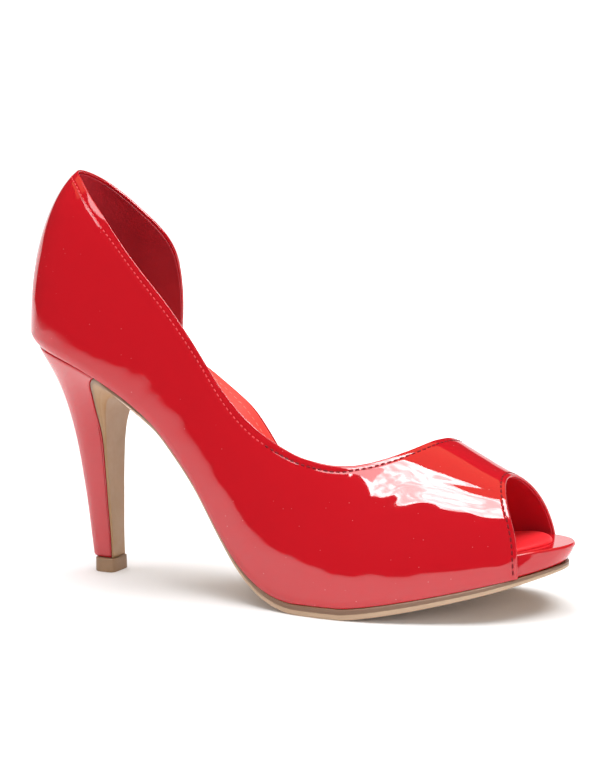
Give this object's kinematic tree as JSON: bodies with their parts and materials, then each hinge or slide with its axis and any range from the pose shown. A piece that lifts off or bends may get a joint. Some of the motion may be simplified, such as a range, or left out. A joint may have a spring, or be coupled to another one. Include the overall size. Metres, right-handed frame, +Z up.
{
  "type": "peep toe pump",
  "caption": "Right high-heeled platform pump with a peep toe, a high counter, an open medial side and a slim covered heel.",
  "frame": {"origin": "centre of the top piece's floor face, under the heel", "axes": "+X from the heel to the toe, +Y to the medial side, +Z up from the floor"},
  "size_m": [0.2179, 0.0782, 0.1557],
  "materials": {
    "upper": "red patent, glossy",
    "platform": "red patent wrap, glossy",
    "insole": "coral sock, soft sheen",
    "outsole": "tan, matte",
    "heel": "red patent cover, glossy",
    "top_piece": "tan, matte"
  },
  "bodies": {
    "root": {"upper": "upper", "platform": "platform", "insole": "insole", "outsole": "outsole", "heel": "heel", "top_piece": "top_piece"}
  },
  "joints": []
}
